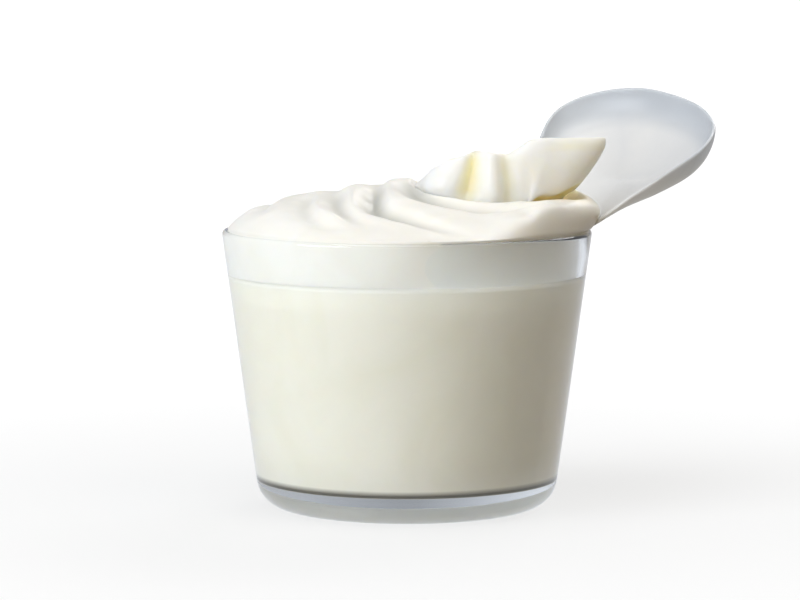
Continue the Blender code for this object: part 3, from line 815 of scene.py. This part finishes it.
def milky_plastic_finish():
    """Thin moulded plastic: grey-white, satin, lets light through as frosted glass does."""
    material, tree, shader = new_finish(
        "milky_plastic", (0.84, 0.87, 0.90), IOR=1.46, Subsurface_Weight=0.7, Subsurface_Scale=0.003,
    )
    shader.inputs["Subsurface Radius"].default_value = (1.0, 1.0, 1.0)
    place = put(tree, "TexCoord").outputs["Object"]
    flow = put(tree, "TexNoise", Vector=place, Scale=55.0, Detail=3.0, Distortion=0.6)
    streaks = spread(tree, flow.outputs["Fac"], 0.35, 0.7, 0.0, 1.0)
    colour = blend_colours(tree, streaks, (0.74, 0.75, 0.76), (0.69, 0.705, 0.73))
    across = put(tree, "SeparateXYZ", Vector=place).outputs["X"]
    smeared = reckon(tree, "MULTIPLY_ADD", flow.outputs["Fac"], -0.008, across)
    colour = blend_colours(tree, spread(tree, smeared, 0.034, 0.044, 0.8, 0.0), colour, (0.93, 0.935, 0.93))
    painted_edge_shade = put(tree, "Attribute", {"attribute_name": "painted_edge_shade"}).outputs["Fac"]
    # Painted shade: the upper edge is greyed where the plastic is seen edge-on.
    colour = blend_colours(tree, reckon(tree, "MULTIPLY", painted_edge_shade, 0.85), colour, (0.47, 0.51, 0.57))
    tree.links.new(colour, shader.inputs["Base Color"])
    satin = put(tree, "TexNoise", Vector=place, Scale=700.0, Detail=2.0)
    tree.links.new(spread(tree, satin.outputs["Fac"], 0.3, 0.7, 0.28, 0.42), shader.inputs["Roughness"])
    height = reckon(tree, "MULTIPLY_ADD", satin.outputs["Fac"], 0.1, flow.outputs["Fac"])
    bump = put(tree, "Bump", Height=height, Strength=0.15, Distance=0.0004)
    tree.links.new(bump.outputs["Normal"], shader.inputs["Normal"])
    return material


lid = build_lid(112, 14, 7)
lid.data.materials.append(milky_plastic_finish())
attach(lid, "root")
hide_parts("lid")


# Studio. A plain pale table and an even pale surround, lit by six soft lamps: a big one at the front left,
# one overhead, one behind, and weak ones at the front, the right and the upper right.
# The camera looks slightly down, from far off, as in a catalogue picture.
FLOOR_RADIUS = 8.0
FLOOR_HEIGHT = -0.0003
FLOOR_RINGS = 8


def floor_finish():
    """Matt white laminate. The camera sees it near white, with a soft shadow near the pot.

    Rays that light the pot see it dimmer and warm, more so on the right. What glass shows of it is cool.
    """
    material, tree, shader = new_finish("pale_floor", (0.60, 0.61, 0.62), Roughness=0.9)
    shader.inputs["Specular IOR Level"].default_value = 0.1
    rays = put(tree, "LightPath")
    white = put(tree, "Emission", Color=(1.0, 1.0, 1.0, 1.0), Strength=1.15)
    cool = put(tree, "Emission", Color=(0.93, 0.95, 1.0, 1.0), Strength=0.85)
    place = put(tree, "TexCoord").outputs["Object"]
    to_right = spread(tree, put(tree, "SeparateXYZ", Vector=place).outputs["X"], -0.12, 0.04, 0.0, 1.0)
    bounce = blend_colours(tree, to_right, (1.0, 0.93, 0.80), (1.0, 0.72, 0.27))
    warm = put(tree, "Emission", Color=bounce, Strength=spread(tree, to_right, 0.0, 1.0, 0.46, 0.15))
    from_axis = put(tree, "VectorMath", {"operation": "LENGTH"})
    tree.links.new(place, from_axis.inputs[0])
    away = spread(tree, from_axis.outputs["Value"], 0.036, 0.045, 0.0, 1.0)
    seen = put(tree, "MixShader", Fac=spread(tree, from_axis.outputs["Value"], 0.05, 0.40, 0.62, 1.0))
    tree.links.new(shader.outputs["BSDF"], seen.inputs[1])
    tree.links.new(white.outputs["Emission"], seen.inputs[2])
    bounced = reckon(tree, "MULTIPLY", rays.outputs["Diffuse Depth"], away, clamp=True)
    lighting = put(tree, "MixShader", Fac=bounced)
    tree.links.new(cool.outputs["Emission"], lighting.inputs[1])
    tree.links.new(warm.outputs["Emission"], lighting.inputs[2])
    both = put(tree, "MixShader", Fac=rays.outputs["Is Camera Ray"])
    tree.links.new(lighting.outputs["Shader"], both.inputs[1])
    tree.links.new(seen.outputs["Shader"], both.inputs[2])
    tree.links.new(both.outputs["Shader"], tree.nodes["Material Output"].inputs["Surface"])
    return material


def soft_lamp(name, place, size, power, colour):
    """A round lamp that faces the middle of the pot."""
    lamp = bpy.data.lights.new(name, "AREA")
    lamp.shape = "DISK"
    lamp.size = size
    lamp.energy = power
    lamp.color = colour
    thing = bpy.data.objects.new(name, lamp)
    thing.location = place
    towards_pot = Vector((0.0, 0.0, 0.045)) - Vector(place)
    thing.rotation_euler = towards_pot.to_track_quat("-Z", "Y").to_euler()
    bpy.context.scene.collection.objects.link(thing)


floor_radii = [FLOOR_RADIUS * (k / FLOOR_RINGS) ** 3 for k in range(FLOOR_RINGS + 1)]
table = skin("floor", [ring_round_axis(radius, FLOOR_HEIGHT, 48) for radius in floor_radii])
table.data.materials.append(floor_finish())
soft_lamp("key_lamp", (-0.95, -0.70, 0.45), 0.8, 7.7, (0.92, 0.96, 1.0))
soft_lamp("top_lamp", (-0.15, -0.25, 1.0), 0.8, 5.1, (1.0, 1.0, 1.0))
soft_lamp("front_lamp", (-0.10, -1.05, 0.34), 0.6, 1.1, (1.0, 0.95, 0.86))
soft_lamp("warm_lamp", (0.9, -0.55, 0.30), 0.6, 0.36, (1.0, 0.66, 0.20))
soft_lamp("side_lamp", (0.55, -0.45, 0.85), 0.7, 1.6, (1.0, 0.92, 0.78))
soft_lamp("back_lamp", (0.45, 0.80, 0.70), 0.7, 4.2, (1.0, 1.0, 1.0))

surround = bpy.data.worlds.new("studio")
surround.use_nodes = True
tree = surround.node_tree
rays = put(tree, "LightPath")
lit_by_surround = reckon(tree, "MINIMUM", rays.outputs["Diffuse Depth"], 1.0)
to_right = put(tree, "SeparateXYZ", Vector=put(tree, "TexCoord").outputs["Generated"]).outputs["X"]
left_part = spread(tree, to_right, -0.8, -0.05, 0.92, 0.38)
seen_in_glass = reckon(tree, "ADD", left_part, spread(tree, to_right, 0.05, 0.5, 0.0, 0.14))
dimmed = reckon(tree, "SUBTRACT", 1.0, reckon(tree, "MULTIPLY", lit_by_surround, 0.87))
strength = reckon(tree, "MULTIPLY", seen_in_glass, dimmed)
tree.links.new(strength, tree.nodes["Background"].inputs["Strength"])
tint = blend_colours(tree, lit_by_surround, (0.92, 0.94, 1.0), (1.0, 0.95, 0.86))
tree.links.new(tint, tree.nodes["Background"].inputs["Color"])
bpy.context.scene.world = surround
bpy.context.scene.view_settings.view_transform = "Standard"

camera_data = bpy.data.cameras.new("camera")
camera_data.lens = 159.0
camera_data.sensor_width = 36.0
camera_data.clip_start = 0.01
camera = bpy.data.objects.new("camera", camera_data)
camera.location = (-0.0015, -0.760, 0.121)
camera.rotation_euler = (radians(90 - 5.74), 0.0, 0.0)
bpy.context.scene.collection.objects.link(camera)
bpy.context.scene.camera = camera
